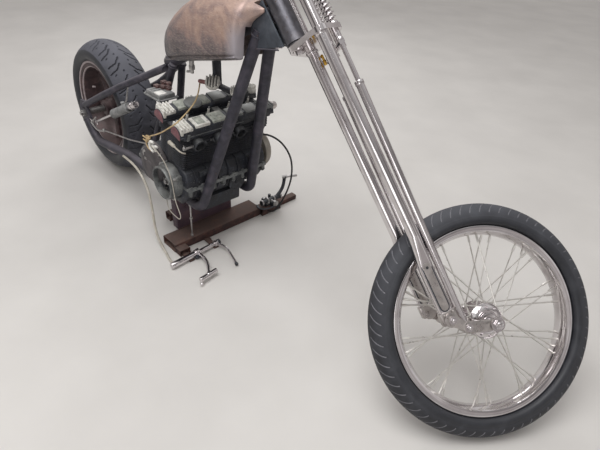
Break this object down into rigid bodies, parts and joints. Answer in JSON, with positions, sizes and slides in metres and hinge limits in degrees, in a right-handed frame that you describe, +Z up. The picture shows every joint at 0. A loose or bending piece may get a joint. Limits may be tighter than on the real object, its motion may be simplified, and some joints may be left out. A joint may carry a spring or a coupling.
{
  "type": "rigid-frame chopper motorcycle on a low work stand",
  "caption": "Long-fork custom motorcycle under construction: wire front wheel, fat rear tyre, bare tank, four-cylinder engine, held upright by a low steel stand.",
  "frame": {"origin": "on the floor, in the frame's centre plane, at the middle of the work stand's base", "axes": "+X forward along the frame, +Y to the rider's left, +Z up"},
  "size_m": [2.6363, 0.7938, 1.5395],
  "materials": {
    "rusty_steel": "rusty, matt",
    "bare_frame_steel": "dirty black, matt",
    "raw_steel": "ground, dull",
    "tank_patina": "worn bare metal with rust",
    "engine_black": "dull black, oily",
    "engine_alloy": "dull, corroded",
    "chrome": "polished",
    "zinc_steel": "zinc plated",
    "tyre_rubber": "matt, dusty",
    "black_rubber": "matt",
    "wheel_grey": "dull grey brown",
    "hose_grey": "dusty",
    "wire_beige": "aged"
  },
  "bodies": {
    "frame": {"work_stand": "rusty_steel", "head_tube": "raw_steel", "backbone": "bare_frame_steel", "neck_gussets": "bare_frame_steel", "downtube_left": "bare_frame_steel", "downtube_right": "bare_frame_steel", "lower_rail_left": "bare_frame_steel", "lower_rail_right": "bare_frame_steel", "upper_rail_left": "bare_frame_steel", "upper_rail_right": "bare_frame_steel", "axle_plate_left": "bare_frame_steel", "axle_plate_right": "bare_frame_steel", "seat_stays": "bare_frame_steel", "frame_crossbars": "bare_frame_steel", "engine_mounts": "bare_frame_steel", "fuel_tank": "tank_patina", "crankcase": "engine_black", "cylinder_block": "engine_black", "cylinder_head": "engine_black", "cam_covers": "engine_alloy", "engine_covers_right": "engine_alloy", "alternator_cover": "engine_alloy", "rear_axle": "zinc_steel", "drive_chain": "zinc_steel", "front_sprocket": "zinc_steel", "brake_cylinder": "zinc_steel", "electrics_box": "engine_alloy", "regulator": "engine_alloy", "foot_control_right": "chrome", "foot_control_left": "zinc_steel", "brake_hose": "hose_grey", "clutch_cable": "black_rubber", "ignition_wire": "wire_beige"},
    "rear_wheel": {"rear_tyre": "tyre_rubber", "rear_rim": "wheel_grey", "rear_sprocket": "zinc_steel"},
    "fork": {"steering_stem": "raw_steel", "lower_yoke": "chrome", "upper_yoke": "chrome", "rear_legs": "chrome", "front_legs": "chrome", "fork_springs": "chrome", "rockers": "chrome", "front_axle": "zinc_steel", "handlebar_risers": "chrome", "handlebar": "chrome", "grips": "black_rubber"},
    "front_wheel": {"front_tyre": "tyre_rubber", "front_rim": "chrome", "front_hub": "chrome", "front_spokes": "chrome"}
  },
  "joints": [
    {"name": "rear_wheel_spin", "type": "hinge", "parent": "frame", "child": "rear_wheel", "pos_m": [-0.7, 0, 0.325], "axis": [0, 1, 0], "continuous": true},
    {"name": "steering", "type": "hinge", "parent": "frame", "child": "fork", "pos_m": [0.637, 0, 0.9457], "axis": [-0.6756, 0, 0.7373], "range_deg": [-126, 0]},
    {"name": "front_wheel_spin", "type": "hinge", "parent": "fork", "child": "front_wheel", "pos_m": [1.34031, 0.14212, 0.28536], "axis": [-0.6569, 0.454, -0.602], "continuous": true}
  ]
}
